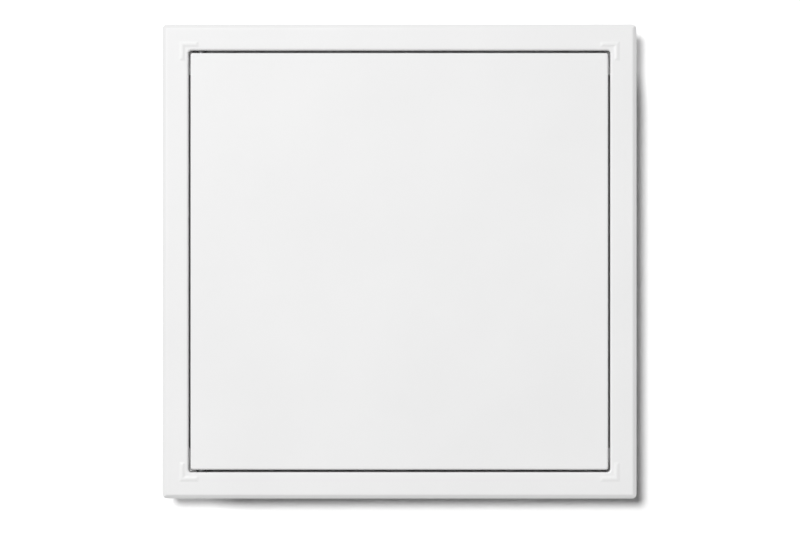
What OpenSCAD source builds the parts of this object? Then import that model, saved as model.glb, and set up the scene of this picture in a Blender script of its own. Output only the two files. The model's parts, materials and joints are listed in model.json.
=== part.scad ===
// Flush access panel: a folded steel frame with a push-to-open door on two concealed spring bolts.
// Each piece is drawn lying face up: x to the right, y up the face, z out of the face towards the room.
// The ceiling surface is z = 0. stand() then turns the panel upright, with its face towards -Y.

/* [Panel] */
// Overall width of the flange
panel_w = 450; // [340:1:700]
// Overall height of the flange
panel_h = 450; // [340:1:700]
// Visible width of the flange around the opening
flange_w = 25; // [23.5:0.1:36]
// How far the flange's face stands in front of the ceiling
flange_rise = 6; // [5.6:0.1:8]
// Gap between the door's sides and the frame
door_gap = 1.8; // [1.6:0.1:3]
// Gap between the door's top or bottom and the frame
end_gap = 2.3; // [2:0.1:3]

/* [Frame] */
// Thickness of the frame's sheet
frame_t = 1.2; // [0.8:0.1:1.5]
// Bend radius where the rim leaves the flange's face
rim_r = 5; // [4:0.1:6]
// Angle at which the rim slopes down to its edge
rim_slope = 28; // [24:0.5:34]
// Width of the rim, seen from the front
rim_w = 4.6; // [4:0.1:6.5]
// Plan radius of the flange's outer corners
outer_corner_r = 4.5; // [3:0.1:8]
// Width of the return lip that lies on the ceiling
lip_w = 10; // [7:0.5:12]
// Radius of the fold along the opening
fold_r = 2; // [1.7:0.1:2.6]
// Plan radius of the opening's corners
opening_r = 3; // [2.4:0.1:4]
// Depth of the box wall behind the ceiling's surface
wall_depth = 46; // [46:1:80]
// Width of the return along the rear edge of the box wall
rear_return_w = 8; // [4:0.5:12]
// Diameter of the fixing screw holes in the box wall
fixing_d = 5; // [3:0.1:6]
// Distance between the two fixing holes of one wall
fixing_spread = 300; // [270:1:310]
// Depth of the fixing holes behind the ceiling's surface
fixing_depth = 34; // [33:0.5:40]

/* [Corner marks and cleats] */
// Length of each arm of a raised mark
mark_len = 18.6; // [12:0.1:24]
// Width of a raised mark at its foot
mark_w = 5.6; // [4.4:0.1:5.6]
// Height of a raised mark
mark_h = 0.4; // [0.3:0.05:0.6]
// Width of a raised mark's flat crest
mark_crest = 1.4; // [1:0.1:2.4]
// Length of the slope at the free end of a mark's arm
mark_taper = 2.5; // [1.5:0.1:6]
// Distance from the opening's edge to a mark's outer edge
mark_offset = 9; // [8.2:0.1:12]
// Thickness of a corner cleat
cleat_t = 2.5; // [1.5:0.1:3]
// Width of a corner cleat's arms
cleat_w = 11.5; // [9:0.5:12]
// Length of a corner cleat's arms
cleat_len = 48; // [40:1:80]

/* [Door] */
// Thickness of the door's sheet
door_t = 1; // [0.8:0.05:1.1]
// Depth of the door tray from its face to its rear hem
door_depth = 16; // [15:0.5:18]
// Radius of the fold around the door's face
door_fold_r = 1.6; // [1.2:0.1:1.8]
// Plan radius of the door's corners
door_corner_r = 2.2; // [2:0.1:3]
// Width of the door's rear hem
hem_w = 16; // [14:0.5:18]
// Slit between two hems at a corner
hem_slit = 0.6; // [0.3:0.1:1.5]
// Distance between the two stiffeners
stiffener_spread = 140; // [100:1:200]
// Width of a stiffener's crown
stiffener_crown = 20; // [12:1:30]
// Height of a stiffener
stiffener_h = 9; // [6:0.5:11]
// Width of a stiffener's foot
stiffener_foot = 11; // [8:0.5:14]
// Clear length at each end of a stiffener
stiffener_end = 26; // [20:1:60]

/* [Stops and seals] */
// Thickness of the stop angles
stop_t = 1.2; // [1:0.1:1.5]
// Width of a stop's front leg
stop_leg = 22; // [20:0.5:26]
// Width of a stop's wall leg
stop_wall_leg = 12; // [8:0.5:13]
// Bend radius of the stop angles
stop_bend = 2; // [1.7:0.1:3]
// Width of the foam seal
seal_w = 6.5; // [5:0.1:8]
// Least height of the foam seal
seal_h = 4.7; // [3.5:0.1:4.8]
// Height of the thin foam tape where the hinge edge swings past
tape_h = 0.5; // [0.3:0.1:0.8]
// Distance of the foam seal from the box wall
seal_inset = 1.6; // [1:0.1:3]

/* [Hinge] */
// Distance of the pivot from the door's edge
pivot_inset = 10; // [9.5:0.1:12]
// Depth of the pivot behind the door's face
pivot_depth = 6; // [5.8:0.1:6.2]
// Diameter of the bolt's tip
tip_d = 5; // [4:0.1:5.5]
// Diameter of the bolt's shoulder
shoulder_d = 6.5; // [6:0.1:7]
// Diameter of the bolt's collar
collar_d = 9; // [8:0.1:9.2]
// Length of the bolt's collar
collar_l = 3; // [2:0.1:4]
// Diameter of the bolt's tail
tail_d = 4.5; // [3.5:0.1:5]
// Length of the tip past the box wall's inner face
tip_l = 3; // [2.6:0.1:3.2]
// Length of the bolt's bent handle
handle_l = 17; // [12:0.5:24]
// Bend radius of the bolt's handle
handle_bend = 6; // [4:0.5:8]
// Sheet thickness of the hinge bracket
bracket_t = 1.5; // [1.2:0.1:2]
// Width of the hinge bracket
bracket_w = 9.4; // [8.5:0.1:9.6]
// Distance from the door's edge to the bracket's outer leg
bracket_edge = 5; // [4:0.1:8]
// Inside length of the hinge bracket
bracket_span = 26; // [24:0.5:34]
// Barrel diameter of the frame's bush
bush_d = 7.6; // [7:0.1:7.8]
// Flange diameter of the frame's bush
bush_flange_d = 9; // [8.4:0.1:9.4]
// Flange thickness of the frame's bush
bush_flange_t = 1.8; // [0.6:0.1:1.8]
// Length of the bush past the box wall's outer face
bush_boss = 2; // [1.5:0.1:2.5]

/* [Push latch] */
// Distance between the two latches
latch_spread = 220; // [150:1:230]
// Distance from the door's edge to a latch
latch_inset = 11.5; // [11.5:0.1:12]
// Diameter of the plunger
plunger_d = 8; // [7:0.1:8.4]
// Diameter of the plunger's collar
plunger_collar_d = 10.4; // [10:0.1:10.6]
// Travel of the plunger when the door is pressed
plunger_travel = 3; // [2:0.1:3.5]
// Diameter of the magnet
magnet_d = 6.4; // [5.5:0.1:6.6]
// Thickness of the magnet
magnet_t = 2.4; // [1.5:0.1:3]
// How far the magnet stands out of the plunger
magnet_proud = 0.5; // [0.2:0.1:0.8]
// Width of the latch housing
housing_w = 14; // [13.6:0.1:14.4]
// Height of the latch housing
housing_h = 18; // [16:0.5:20]
// Height of the latch housing over its two ears
ear_span = 38; // [36:0.5:44]
// Thickness of the ears
ear_t = 6; // [5:0.1:7]
// Diameter of the chamber for the spring
chamber_d = 11; // [10.8:0.1:11.4]
// Thickness of the latch's rear cap
cap_t = 2; // [1.5:0.1:3]
// Diameter of the latch screws
screw_d = 2.9; // [2.5:0.1:3.2]
// Diameter of the latch screws' heads
screw_head_d = 5.6; // [5:0.1:6]
// Height of the latch screws' heads
screw_head_h = 1.9; // [1.5:0.1:2.2]

/* [Fits] */
// Radial clearance of a turning or sliding fit
running_fit = 0.05; // [0.02:0.01:0.1]
// Clearance between pieces that seat on each other
seat_fit = 0.2; // [0.1:0.05:0.3]
// Clearance of the door's hem from the seals and the magnets
touch_gap = 0.3; // [0.2:0.05:0.4]

/* [Hidden] */
$fn = 64;
overcut = 1;
wire_d = 0.8;
wire_sides = 6;
wire_steps = 18;
hinge_turns = 8;
latch_turns = 6;
stem_d = 4.5;
stem_l = 6;
stem_room = 4.8;
plunger_collar_l = 3;
spigot_l = 2;
elbow_room = 2;
chamfer = 0.5;
housing_corner_r = 2.5;
return_corner_r = 2;
bend_steps = 5;

opening_w = panel_w - 2 * flange_w;
opening_h = panel_h - 2 * flange_w;
door_w = opening_w - 2 * door_gap;
door_h = opening_h - 2 * end_gap;
mark_slope = (mark_w - mark_crest) / 2;

// Levels along z, from the face to the rear
face_z = flange_rise;
door_inner_z = face_z - door_t;
door_rear_z = face_z - door_depth;
swing_r = sqrt(pivot_inset * pivot_inset + (door_depth - pivot_depth) * (door_depth - pivot_depth));
swing_z = face_z - pivot_depth - swing_r;
stop_front_z = min(door_rear_z - touch_gap - seal_h, swing_z - touch_gap - tape_h);
seal_top_z = door_rear_z - touch_gap - stop_front_z;
stop_rear_z = stop_front_z - stop_t;
guide_end_z = stop_rear_z - ear_t;
housing_l = ear_t + seat_fit + plunger_collar_l + stem_l + plunger_travel + stem_room + spigot_l;
housing_rear_z = stop_rear_z - housing_l;

// Pivot and bolt
pivot_x = -door_w / 2 + pivot_inset;
pivot_z = face_z - pivot_depth;
leg_outer_y = door_h / 2 - bracket_edge;
leg_inner_y = leg_outer_y - bracket_t - bracket_span;
collar_top_y = leg_outer_y - bracket_t - seat_fit;
shoulder_top_y = opening_h / 2 - bush_flange_t - seat_fit;
tip_top_y = opening_h / 2 + tip_l;
elbow_y = leg_inner_y - bracket_t - elbow_room;
spring_low_y = leg_inner_y;
spring_high_y = collar_top_y - collar_l;
spring_room = seat_fit / 2;

// The full seals at the top and bottom start where the door's hinge edge has swung clear
seal_start_x = pivot_x + swing_r + seal_w / 2;
stop_end_x = opening_w / 2 - opening_r;
latch_stop_h = opening_h - 2 * (stop_leg + touch_gap);
latch_seal_h = opening_h - 2 * (seal_inset + seal_w + touch_gap);

// Latch
latch_x = door_w / 2 - latch_inset;
magnet_front_z = door_rear_z - touch_gap;
plunger_front_z = magnet_front_z - magnet_proud;
plunger_collar_z = guide_end_z - seat_fit;
spigot_z = housing_rear_z + spigot_l;
screw_y = (ear_span + housing_h) / 4;

SIDES = [-1, 1];

// Turns a piece drawn face up into the upright panel
module stand() {
    rotate([90, 0, 0])
        children();
}

// The same piece at the foot of the panel
module at_foot() {
    mirror([0, 1, 0])
        children();
}

module rounded_rect(w, h, r) {
    square([w - 2 * r, h], center = true);
    square([w, h - 2 * r], center = true);
    for (side_x = SIDES, side_y = SIDES)
        translate([side_x * (w / 2 - r), side_y * (h / 2 - r)])
            circle(r);
}

// Carries a profile, drawn outwards from a corner's centre, round a rounded rectangle
module sweep_ring(w, h, r) {
    for (turn = [0, 180])
        rotate(turn) {
            translate([w / 2 - r, 0, 0])
                rotate([90, 0, 0])
                    linear_extrude(h - 2 * r, center = true)
                        children();
            translate([0, h / 2 - r, 0])
                rotate([90, 0, 90])
                    linear_extrude(w - 2 * r, center = true)
                        children();
            translate([w / 2 - r, h / 2 - r, 0])
                rotate_extrude(angle = 90)
                    children();
            translate([r - w / 2, h / 2 - r, 0])
                rotate(90)
                    rotate_extrude(angle = 90)
                        children();
        }
}

// Quarter of a bent sheet round the origin, in the first quadrant
module quarter_bend(r, t) {
    difference() {
        intersection() {
            circle(r);
            square(r);
        }
        circle(r - t);
    }
}

// An angle bent from sheet: front leg along +x at y = 0, wall leg down -y at x = 0
module bent_angle(front_leg, wall_leg, t, r) {
    translate([r, -t])
        square([front_leg - r, t]);
    translate([0, -wall_leg])
        square([t, wall_leg - r]);
    translate([r, -r])
        mirror([1, 0])
            quarter_bend(r, t);
}

// Section across the flange's pan: a flat face that bends in short steps into a sloping rim along both edges
module pan_section(w, inset, floor_z) {
    bend_r = rim_r - inset;
    foot_x = w / 2 + bend_r * sin(rim_slope);
    foot_z = face_z - rim_r + bend_r * cos(rim_slope) - rim_w * tan(rim_slope);
    bend = [
        for (step = [0:bend_steps])
            let (angle = rim_slope * step / bend_steps)
                [w / 2 - rim_w + bend_r * sin(angle), face_z - rim_r + bend_r * cos(angle)]
    ];
    half = concat(bend, [[foot_x, foot_z], [foot_x, -face_z]]);
    intersection() {
        translate([-w, floor_z])
            square([2 * w, face_z - floor_z + overcut]);
        polygon(concat(half, [for (i = [len(half) - 1:-1:0]) [-half[i][0], half[i][1]]]));
    }
}

// The pan as a block whose sloping rims meet in mitres, inset by a sheet's thickness or not at all
module pan_block(inset, floor_z) {
    intersection() {
        rotate([90, 0, 0])
            linear_extrude(panel_h, center = true)
                pan_section(panel_w, inset, floor_z);
        rotate([90, 0, 90])
            linear_extrude(panel_w, center = true)
                pan_section(panel_h, inset, floor_z);
        translate([0, 0, floor_z])
            linear_extrude(face_z - floor_z)
                rounded_rect(panel_w - 2 * inset, panel_h - 2 * inset, outer_corner_r - inset);
    }
}

module wall_profile() {
    translate([opening_r + fold_r, face_z - fold_r])
        mirror([1, 0])
            quarter_bend(fold_r, frame_t);
    translate([opening_r, -wall_depth])
        square([frame_t, wall_depth + face_z - fold_r]);
}

module rear_return() {
    translate([0, 0, -wall_depth])
        linear_extrude(frame_t)
            difference() {
                rounded_rect(opening_w + 2 * frame_t, opening_h + 2 * frame_t, opening_r + frame_t);
                rounded_rect(opening_w - 2 * rear_return_w, opening_h - 2 * rear_return_w, return_corner_r);
            }
}

// A low bar with four sloping sides, its foot from the origin to [-l, -w], its free end sloping gently
module sloped_bar(l, w, h, slope, taper) {
    intersection() {
        rotate([90, 0, 0])
            linear_extrude(w)
                polygon([[-l, 0], [0, 0], [-slope, h], [taper - l, h]]);
        translate([-l, 0, 0])
            rotate([90, 0, 90])
                linear_extrude(l)
                    polygon([[-w, 0], [0, 0], [-slope, h], [slope - w, h]]);
    }
}

// Two bars that meet in a corner, with their outer corner at the origin
module corner_pair() {
    children();
    mirror([1, -1, 0])
        children();
}

// Repeats a shape drawn in the upper right corner in all four
module at_corners() {
    for (side_x = SIDES, side_y = SIDES)
        scale([side_x, side_y, 1])
            children();
}

module at_mark() {
    translate([opening_w / 2 + mark_offset, opening_h / 2 + mark_offset, 0])
        children();
}

// The hollow that a mark leaves behind the sheet, or the rib that fills it
module mark_core(clearance, depth) {
    core_w = mark_crest - 2 * clearance;
    inset = mark_slope + clearance;
    core_end = mark_len - mark_taper - clearance;
    corner_pair()
        translate([-core_end, -inset - core_w, 0])
            cube([core_end - inset, core_w, depth]);
}

module fixing_holes() {
    for (side = SIDES) {
        translate([0, side * fixing_spread / 2, -fixing_depth])
            rotate([0, 90, 0])
                cylinder(d = fixing_d, h = opening_w + 2 * frame_t + 2 * overcut, center = true);
        translate([side * fixing_spread / 2, 0, -fixing_depth])
            rotate([90, 0, 0])
                cylinder(d = fixing_d, h = opening_h + 2 * frame_t + 2 * overcut, center = true);
    }
}

// The part of the frame in front of the ceiling: face, sloping rim and return lip
module flange_pan() {
    difference() {
        pan_block(0, 0);
        pan_block(frame_t, frame_t);
        translate([0, 0, -overcut])
            linear_extrude(frame_t + 2 * overcut)
                square([panel_w - 2 * lip_w, panel_h - 2 * lip_w], center = true);
        translate([0, 0, -overcut])
            linear_extrude(face_z + 2 * overcut)
                rounded_rect(opening_w + 2 * fold_r, opening_h + 2 * fold_r, opening_r + fold_r);
    }
}

// The part of the frame behind the face: folded wall and rear return
module box_wall() {
    union() {
        sweep_ring(opening_w, opening_h, opening_r)
            wall_profile();
        rear_return();
    }
}

module raised_marks() {
    at_corners()
        at_mark()
            translate([0, 0, face_z])
                corner_pair()
                    sloped_bar(mark_len, mark_w, mark_h, mark_slope, mark_taper);
}

module mark_hollows() {
    at_corners()
        at_mark()
            translate([0, 0, face_z - frame_t - overcut])
                mark_core(0, mark_h + overcut);
}

module bush_holes() {
    translate([pivot_x, 0, pivot_z])
        rotate([90, 0, 0])
            cylinder(d = bush_d, h = opening_h + 2 * frame_t + 2 * overcut, center = true);
}

module frame_surround() {
    color("white")
        stand()
            difference() {
                union() {
                    flange_pan();
                    box_wall();
                    raised_marks();
                }
                mark_hollows();
                fixing_holes();
                bush_holes();
            }
}

// L plate behind a corner of the flange, with a rib in the raised mark
module corner_cleat(side_x, side_y) {
    inset = frame_t + bush_boss + 3 * seat_fit;
    inner_x = opening_w / 2 + inset;
    inner_y = opening_h / 2 + inset;
    color("white")
        stand()
            scale([side_x, side_y, 1]) {
                translate([inner_x + cleat_w - cleat_len, inner_y, face_z - frame_t - cleat_t])
                    cube([cleat_len, cleat_w, cleat_t]);
                translate([inner_x, inner_y + cleat_w - cleat_len, face_z - frame_t - cleat_t])
                    cube([cleat_w, cleat_len, cleat_t]);
                at_mark()
                    translate([0, 0, face_z - frame_t])
                        mark_core(seat_fit / 2, mark_h - seat_fit / 2);
            }
}

// Places a shape at the upper or the lower latch, with its axis along z
module at_latch(side) {
    translate([latch_x, side * latch_spread / 2, 0])
        children();
}

module at_latch_screws() {
    for (side = SIDES)
        translate([0, side * screw_y, 0])
            children();
}

module stop_profile() {
    translate([0, stop_front_z])
        bent_angle(stop_leg, stop_wall_leg, stop_t, stop_bend);
}

module stop_upright() {
    translate([-opening_w / 2, 0, 0])
        rotate([90, 0, 0])
            linear_extrude(latch_stop_h, center = true)
                stop_profile();
}

module stop_hinge() {
    color("white")
        stand()
            stop_upright();
}

module stop_latch() {
    color("white")
        stand()
            difference() {
                mirror([1, 0, 0])
                    stop_upright();
                for (side = SIDES)
                    at_latch(side)
                        translate([0, 0, stop_rear_z - overcut]) {
                            cylinder(d = plunger_d + 2 * seat_fit, h = stop_t + 2 * overcut);
                            at_latch_screws()
                                cylinder(d = screw_d + 2 * seat_fit, h = stop_t + 2 * overcut);
                        }
            }
}

module stop_across() {
    translate([0, opening_h / 2, 0])
        mirror([0, 1, 0])
            rotate([90, 0, 90])
                linear_extrude(2 * stop_end_x, center = true)
                    stop_profile();
}

module stop_top() {
    color("white")
        stand()
            stop_across();
}

module stop_bottom() {
    color("white")
        stand()
            at_foot()
                stop_across();
}

// Foam strip with its two front edges rounded, standing on y = 0
module seal_profile() {
    edge_r = seal_w / 5;
    square([seal_w, seal_top_z - edge_r]);
    translate([edge_r, 0])
        square([seal_w - 2 * edge_r, seal_top_z]);
    for (edge_x = [edge_r, seal_w - edge_r])
        translate([edge_x, seal_top_z - edge_r])
            circle(edge_r);
}

module seal_latch() {
    color([0.05, 0.05, 0.05])
        stand()
            translate([opening_w / 2 - seal_inset - seal_w, 0, stop_front_z])
                rotate([90, 0, 0])
                    linear_extrude(latch_seal_h, center = true)
                        seal_profile();
}

module seal_hinge() {
    color([0.05, 0.05, 0.05])
        stand()
            translate([seal_inset - opening_w / 2, -latch_seal_h / 2, stop_front_z])
                cube([seal_w, latch_seal_h, tape_h]);
}

module seal_across() {
    translate([seal_start_x, opening_h / 2 - seal_inset - seal_w, stop_front_z])
        rotate([90, 0, 90])
            linear_extrude(stop_end_x - seal_start_x)
                seal_profile();
    translate([-stop_end_x, opening_h / 2 - seal_inset - seal_w, stop_front_z])
        cube([seal_start_x + stop_end_x, seal_w, tape_h]);
}

module seal_top() {
    color([0.05, 0.05, 0.05])
        stand()
            seal_across();
}

module seal_bottom() {
    color([0.05, 0.05, 0.05])
        stand()
            at_foot()
                seal_across();
}

// Places a shape on the pivot, with its axis along y
module at_pivot() {
    translate([pivot_x, 0, pivot_z])
        rotate([-90, 0, 0])
            children();
}

// Flanged bush pushed through the box wall from inside, with its flange in the gap
module bush() {
    bush_l = frame_t + bush_boss;
    at_pivot()
        difference() {
            union() {
                translate([0, 0, opening_h / 2])
                    cylinder(d = bush_d, h = bush_l);
                translate([0, 0, opening_h / 2 - bush_flange_t])
                    cylinder(d = bush_flange_d, h = bush_flange_t);
            }
            translate([0, 0, opening_h / 2 - bush_flange_t - overcut])
                cylinder(d = tip_d + 2 * running_fit, h = bush_flange_t + bush_l + 2 * overcut);
        }
}

module hinge_bush_top() {
    color("ivory")
        stand()
            bush();
}

module hinge_bush_bottom() {
    color("ivory")
        stand()
            at_foot()
                bush();
}

module door_profile() {
    translate([door_corner_r - door_fold_r, face_z - door_fold_r])
        quarter_bend(door_fold_r, door_t);
    translate([door_corner_r - door_t, door_rear_z])
        square([door_t, door_depth - door_fold_r]);
}

module door_skin() {
    translate([0, 0, door_inner_z])
        linear_extrude(door_t)
            rounded_rect(door_w - 2 * door_fold_r, door_h - 2 * door_fold_r, door_corner_r - door_fold_r);
}

// Rear hem between the tray's walls, with a slit at each mitred corner
module door_hem() {
    slit_inset = door_corner_r + 2 * door_t;
    translate([0, 0, door_rear_z])
        linear_extrude(door_t)
            difference() {
                rounded_rect(door_w - 2 * door_t, door_h - 2 * door_t, door_corner_r - door_t);
                square([door_w - 2 * hem_w, door_h - 2 * hem_w], center = true);
                for (side_x = SIDES, side_y = SIDES)
                    translate([side_x * (door_w / 2 - slit_inset), side_y * (door_h / 2 - slit_inset)])
                        rotate(side_x * side_y * 45)
                            translate([side_x > 0 ? -2 * hem_w : 0, -hem_slit / 2])
                                square([2 * hem_w, hem_slit]);
            }
}

// The folded tray: skin and side walls
module door_tray() {
    union() {
        sweep_ring(door_w, door_h, door_corner_r)
            door_profile();
        door_skin();
    }
}

module door_panel() {
    color("white")
        stand()
            difference() {
                union() {
                    door_tray();
                    door_hem();
                }
                at_pivot()
                    cylinder(d = shoulder_d + 2 * seat_fit, h = door_h + 2 * overcut, center = true);
            }
}

// Hat section with its feet on y = 0 and its crown below
module hat_profile() {
    crown = stiffener_crown / 2;
    foot = crown + stiffener_foot;
    for (side = SIDES)
        scale([side, 1]) {
            translate([crown - door_t, -door_t])
                square([foot - crown + door_t, door_t]);
            translate([crown - door_t, -stiffener_h])
                square([door_t, stiffener_h]);
            translate([0, -stiffener_h])
                square([crown, door_t]);
        }
}

module stiffener(side) {
    color("white")
        stand()
            translate([side * stiffener_spread / 2, 0, door_inner_z])
                rotate([90, 0, 0])
                    linear_extrude(door_h - 2 * stiffener_end, center = true)
                        hat_profile();
}

module stiffener_left() {
    stiffener(-1);
}

module stiffener_right() {
    stiffener(1);
}

// U bracket on the tray's side wall: two rounded legs that guide the bolt
module bracket() {
    base_x = door_t - door_w / 2;
    bend_r = 2 * bracket_t;
    leg_l = pivot_inset - door_t;
    outer_span = bracket_span + 2 * bracket_t;
    difference() {
        intersection() {
            translate([base_x, leg_inner_y - bracket_t, pivot_z - bracket_w / 2])
                linear_extrude(bracket_w) {
                    translate([0, bend_r])
                        square([bracket_t, outer_span - 2 * bend_r]);
                    for (end = [0, 1])
                        translate([0, end * outer_span])
                            mirror([0, end]) {
                                translate([bend_r, 0])
                                    square([leg_l + bracket_w / 2 - bend_r, bracket_t]);
                                translate([bend_r, bend_r])
                                    rotate(180)
                                        quarter_bend(bend_r, bracket_t);
                            }
                }
            translate([base_x, 0, pivot_z])
                rotate([-90, 0, 0])
                    linear_extrude(door_h / 2) {
                        translate([0, -bracket_w / 2])
                            square([leg_l, bracket_w]);
                        translate([leg_l, 0])
                            circle(d = bracket_w);
                    }
        }
        at_pivot() {
            translate([0, 0, leg_outer_y - bracket_t - overcut])
                cylinder(d = shoulder_d + 2 * running_fit, h = bracket_t + 2 * overcut);
            translate([0, 0, leg_inner_y - bracket_t - overcut])
                cylinder(d = tail_d + 2 * running_fit, h = bracket_t + 2 * overcut);
        }
    }
}

module hinge_bracket_top() {
    color("white")
        stand()
            bracket();
}

module hinge_bracket_bottom() {
    color("white")
        stand()
            at_foot()
                bracket();
}

// Stepped bolt: tip, shoulder, collar and tail in one turned profile, then a bent handle
module bolt() {
    tip_r = tip_d / 2;
    at_pivot()
        rotate_extrude()
            polygon([
                [0, elbow_y], [tail_d / 2, elbow_y],
                [tail_d / 2, spring_high_y], [collar_d / 2, spring_high_y],
                [collar_d / 2, collar_top_y], [shoulder_d / 2, collar_top_y],
                [shoulder_d / 2, shoulder_top_y], [tip_r, shoulder_top_y],
                [tip_r, tip_top_y - chamfer], [tip_r - chamfer, tip_top_y], [0, tip_top_y]
            ]);
    translate([pivot_x + handle_bend, elbow_y, pivot_z]) {
        rotate(180)
            rotate_extrude(angle = 90)
                translate([handle_bend, 0])
                    circle(d = tail_d);
        translate([0, -handle_bend, 0])
            rotate([0, 90, 0])
                cylinder(d = tail_d, h = handle_l);
        translate([handle_l, -handle_bend, 0])
            sphere(d = tail_d);
    }
}

module hinge_pin_top() {
    color("silver")
        stand()
            bolt();
}

module hinge_pin_bottom() {
    color("silver")
        stand()
            at_foot()
                bolt();
}

// Height of a coil spring's wire after a number of turns, with one closed turn at each end
function coil_height(turn, turns, free_l) =
    let (closed = 1.1 * wire_d, open = (free_l - wire_d - 2 * closed) / (turns - 2))
    wire_d / 2 + min(turn, 1) * closed + max(0, min(turn, turns - 1) - 1) * open
        + max(0, turn - turns + 1) * closed;

// Coil spring along +z from the origin
module coil_spring(coil_d, turns, l) {
    steps = turns * wire_steps;
    coil_r = (coil_d - wire_d) / 2;
    points = [
        for (step = [0:steps], side = [0:wire_sides - 1])
            let (
                around = 360 * step / wire_steps,
                section = 360 * side / wire_sides,
                r = coil_r + wire_d / 2 * cos(section)
            )
            [
                r * cos(around),
                r * sin(around),
                coil_height(step / wire_steps, turns, l) + wire_d / 2 * sin(section)
            ]
    ];
    walls = [
        for (step = [0:steps - 1], side = [0:wire_sides - 1])
            let (next = (side + 1) % wire_sides, here = step * wire_sides, there = here + wire_sides)
            [here + side, here + next, there + next, there + side]
    ];
    first_end = [for (side = [wire_sides - 1:-1:0]) side];
    last_end = [for (side = [0:wire_sides - 1]) steps * wire_sides + side];
    polyhedron(points, concat(walls, [first_end, last_end]));
}

module hinge_spring() {
    at_pivot()
        translate([0, 0, spring_low_y + spring_room])
            coil_spring(collar_d - 2 * seat_fit, hinge_turns, spring_high_y - spring_low_y - 2 * spring_room);
}

module hinge_spring_top() {
    color("silver")
        stand()
            hinge_spring();
}

module hinge_spring_bottom() {
    color("silver")
        stand()
            at_foot()
                hinge_spring();
}

module latch_housing(side) {
    color("gainsboro")
        stand()
            at_latch(side)
                difference() {
                    union() {
                        translate([0, 0, housing_rear_z])
                            linear_extrude(housing_l)
                                rounded_rect(housing_w, housing_h, housing_corner_r);
                        translate([0, 0, guide_end_z])
                            linear_extrude(ear_t)
                                rounded_rect(housing_w, ear_span, housing_corner_r);
                    }
                    translate([0, 0, guide_end_z - overcut])
                        cylinder(d = plunger_d + 2 * running_fit, h = ear_t + 2 * overcut);
                    translate([0, 0, housing_rear_z - overcut])
                        cylinder(d = chamber_d, h = housing_l - ear_t + overcut);
                    at_latch_screws()
                        translate([0, 0, guide_end_z - overcut])
                            cylinder(d = screw_d + 2 * running_fit, h = ear_t + 2 * overcut);
                }
}

module latch_housing_upper() {
    latch_housing(1);
}

module latch_housing_lower() {
    latch_housing(-1);
}

module latch_cap(side) {
    color("dimgray")
        stand()
            at_latch(side) {
                translate([0, 0, housing_rear_z - cap_t])
                    linear_extrude(cap_t)
                        rounded_rect(housing_w, housing_h, housing_corner_r);
                translate([0, 0, housing_rear_z])
                    cylinder(d = chamber_d - 2 * running_fit, h = spigot_l);
            }
}

module latch_cap_upper() {
    latch_cap(1);
}

module latch_cap_lower() {
    latch_cap(-1);
}

module latch_spring(side) {
    low_z = spigot_z + spring_room;
    high_z = plunger_collar_z - plunger_collar_l - spring_room;
    color("silver")
        stand()
            at_latch(side)
                translate([0, 0, low_z])
                    coil_spring(plunger_collar_d - 2 * seat_fit, latch_turns, high_z - low_z);
}

module latch_spring_upper() {
    latch_spring(1);
}

module latch_spring_lower() {
    latch_spring(-1);
}

// Plunger in one turned profile, with a cup for the magnet in its tip
module latch_plunger(side) {
    tip_r = plunger_d / 2;
    collar_rear_z = plunger_collar_z - plunger_collar_l;
    cup_z = magnet_front_z - magnet_t;
    color("whitesmoke")
        stand()
            at_latch(side)
                rotate_extrude()
                    polygon([
                        [0, collar_rear_z - stem_l], [stem_d / 2 - chamfer, collar_rear_z - stem_l],
                        [stem_d / 2, collar_rear_z - stem_l + chamfer], [stem_d / 2, collar_rear_z],
                        [plunger_collar_d / 2, collar_rear_z], [plunger_collar_d / 2, plunger_collar_z],
                        [tip_r, plunger_collar_z], [tip_r, plunger_front_z - chamfer],
                        [tip_r - chamfer, plunger_front_z], [magnet_d / 2, plunger_front_z],
                        [magnet_d / 2, cup_z], [0, cup_z]
                    ]);
}

module latch_plunger_upper() {
    latch_plunger(1);
}

module latch_plunger_lower() {
    latch_plunger(-1);
}

module latch_magnet(side) {
    color("gray")
        stand()
            at_latch(side)
                translate([0, 0, magnet_front_z - magnet_t])
                    cylinder(d = magnet_d, h = magnet_t);
}

module latch_magnet_upper() {
    latch_magnet(1);
}

module latch_magnet_lower() {
    latch_magnet(-1);
}

// Pan-head screw through the stop into an ear of the housing
module latch_screw() {
    head_r = screw_head_d / 2;
    shank_r = screw_d / 2;
    end_z = guide_end_z;
    rotate_extrude()
        polygon([
            [0, end_z], [shank_r - chamfer, end_z], [shank_r, end_z + chamfer],
            [shank_r, stop_front_z], [head_r, stop_front_z],
            [head_r, stop_front_z + screw_head_h / 2], [shank_r, stop_front_z + screw_head_h],
            [0, stop_front_z + screw_head_h]
        ]);
}

module latch_screws() {
    color("silver")
        stand()
            for (side = SIDES)
                at_latch(side)
                    at_latch_screws()
                        latch_screw();
}

frame_surround();
corner_cleat(-1, 1);  // corner_cleat_1
corner_cleat(1, 1);  // corner_cleat_2
corner_cleat(1, -1);  // corner_cleat_3
corner_cleat(-1, -1);  // corner_cleat_4
stop_latch();
stop_hinge();
stop_top();
stop_bottom();
seal_latch();
seal_hinge();
seal_top();
seal_bottom();
hinge_bush_top();
hinge_bush_bottom();
latch_housing_upper();
latch_housing_lower();
latch_cap_upper();
latch_cap_lower();
latch_spring_upper();
latch_spring_lower();
latch_screws();
door_panel();
stiffener_left();
stiffener_right();
hinge_bracket_top();
hinge_bracket_bottom();
hinge_spring_top();
hinge_spring_bottom();
hinge_pin_top();
hinge_pin_bottom();
latch_plunger_upper();
latch_plunger_lower();
latch_magnet_upper();
latch_magnet_lower();
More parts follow.
